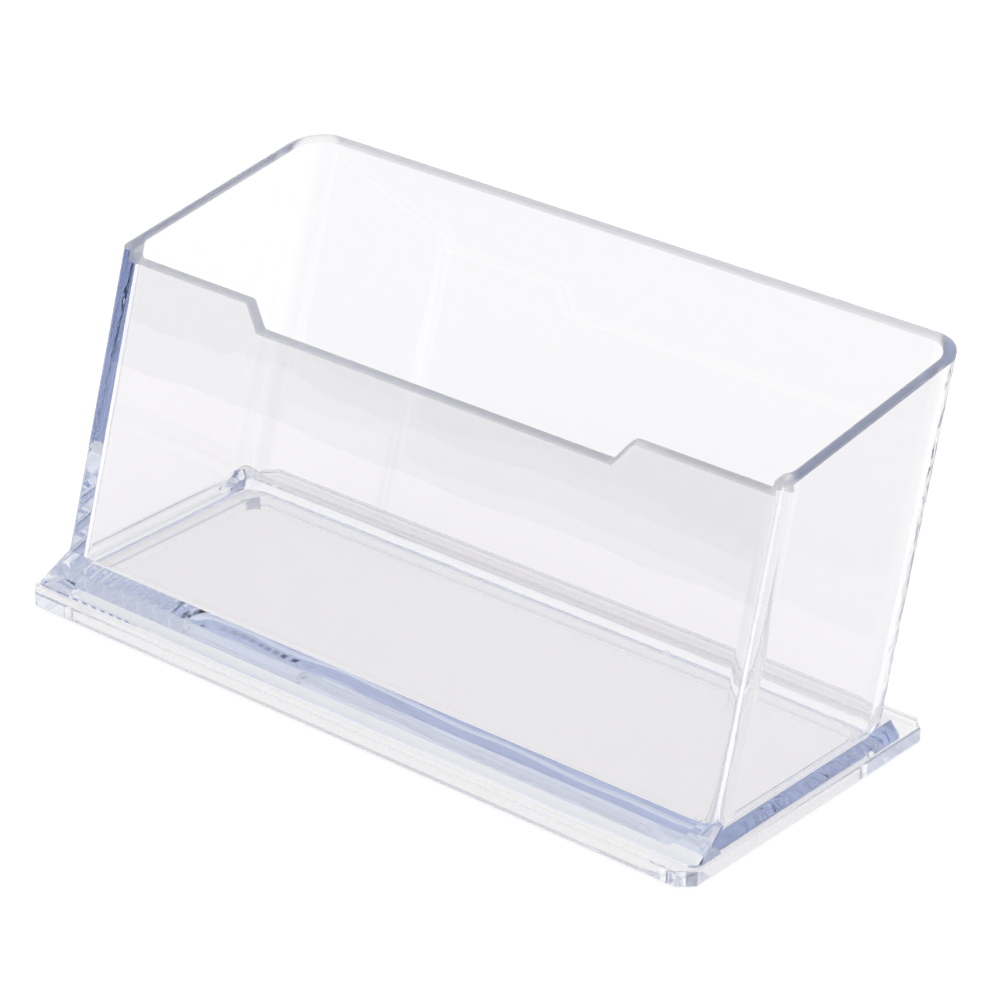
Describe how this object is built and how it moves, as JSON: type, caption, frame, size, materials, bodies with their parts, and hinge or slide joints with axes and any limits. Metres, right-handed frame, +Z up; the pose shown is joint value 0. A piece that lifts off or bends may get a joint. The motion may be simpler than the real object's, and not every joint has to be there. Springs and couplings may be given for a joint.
{
  "type": "business card holder",
  "caption": "Clear plastic desk stand for business cards: a backward-leaning open box with a finger notch in its front wall, on a flat base frame.",
  "frame": {"origin": "middle of the overall footprint, the leaning back included, at the level of the surface it stands on", "axes": "+X along a card's long side, +Y from the notched front to the leaning back, +Z up"},
  "size_m": [0.0986, 0.0495, 0.0452],
  "materials": {
    "clear_plastic": "clear injection-moulded polystyrene, glossy, faintly blue where the light runs far inside it"
  },
  "bodies": {
    "root": {"card_box": "clear_plastic", "base_frame": "clear_plastic"}
  },
  "joints": []
}
